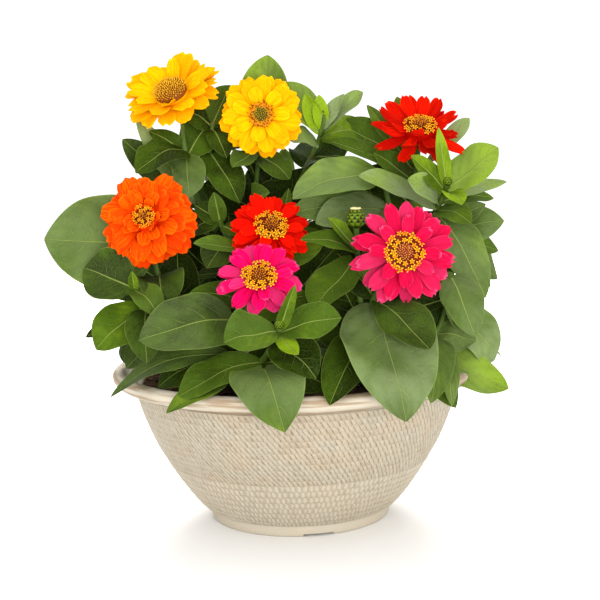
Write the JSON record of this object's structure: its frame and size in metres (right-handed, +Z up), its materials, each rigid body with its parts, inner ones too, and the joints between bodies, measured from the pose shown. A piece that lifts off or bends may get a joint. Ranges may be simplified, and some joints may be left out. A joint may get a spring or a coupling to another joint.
{
  "type": "potted zinnia",
  "caption": "Zinnias in yellow, orange, scarlet, magenta and pink with broad green leaves, growing in a round beige bowl pot with a rolled rim and woven relief.",
  "frame": {"origin": "centre of the pot's foot, on the surface that the pot stands on", "axes": "+Z up, the front of the picture toward -Y, +X to the right of the picture"},
  "size_m": [0.3652, 0.3374, 0.3765],
  "materials": {
    "pot_resin": "matte, with a woven relief",
    "potting_soil": "matte",
    "zinnia_green": "matte",
    "yellow_petals": "matte",
    "orange_petals": "matte",
    "scarlet_petals": "matte",
    "magenta_petals": "matte",
    "pink_petals": "matte",
    "yellow_florets": "matte",
    "brown_cone": "matte",
    "olive_cone": "matte"
  },
  "bodies": {
    "root": {"pot": "pot_resin", "soil": "potting_soil", "orange_plant": "zinnia_green", "yellow_plant": "zinnia_green", "scarlet_plant": "zinnia_green", "magenta_plant": "zinnia_green", "pink_plant": "zinnia_green", "red_plant": "zinnia_green", "back_plant": "zinnia_green", "yellow_left_petals": "yellow_petals", "yellow_left_cone": "brown_cone", "yellow_right_petals": "yellow_petals", "yellow_right_florets": "brown_cone", "yellow_right_cone": "olive_cone", "orange_petals": "orange_petals", "orange_florets": "yellow_florets", "orange_cone": "brown_cone", "scarlet_petals": "scarlet_petals", "scarlet_florets": "yellow_florets", "scarlet_cone": "brown_cone", "red_petals": "scarlet_petals", "red_florets": "yellow_florets", "red_cone": "brown_cone", "magenta_petals": "magenta_petals", "magenta_florets": "yellow_florets", "magenta_cone": "brown_cone", "pink_petals": "pink_petals", "pink_florets": "yellow_florets", "pink_cone": "brown_cone", "bud_ring": "yellow_florets"}
  },
  "joints": []
}
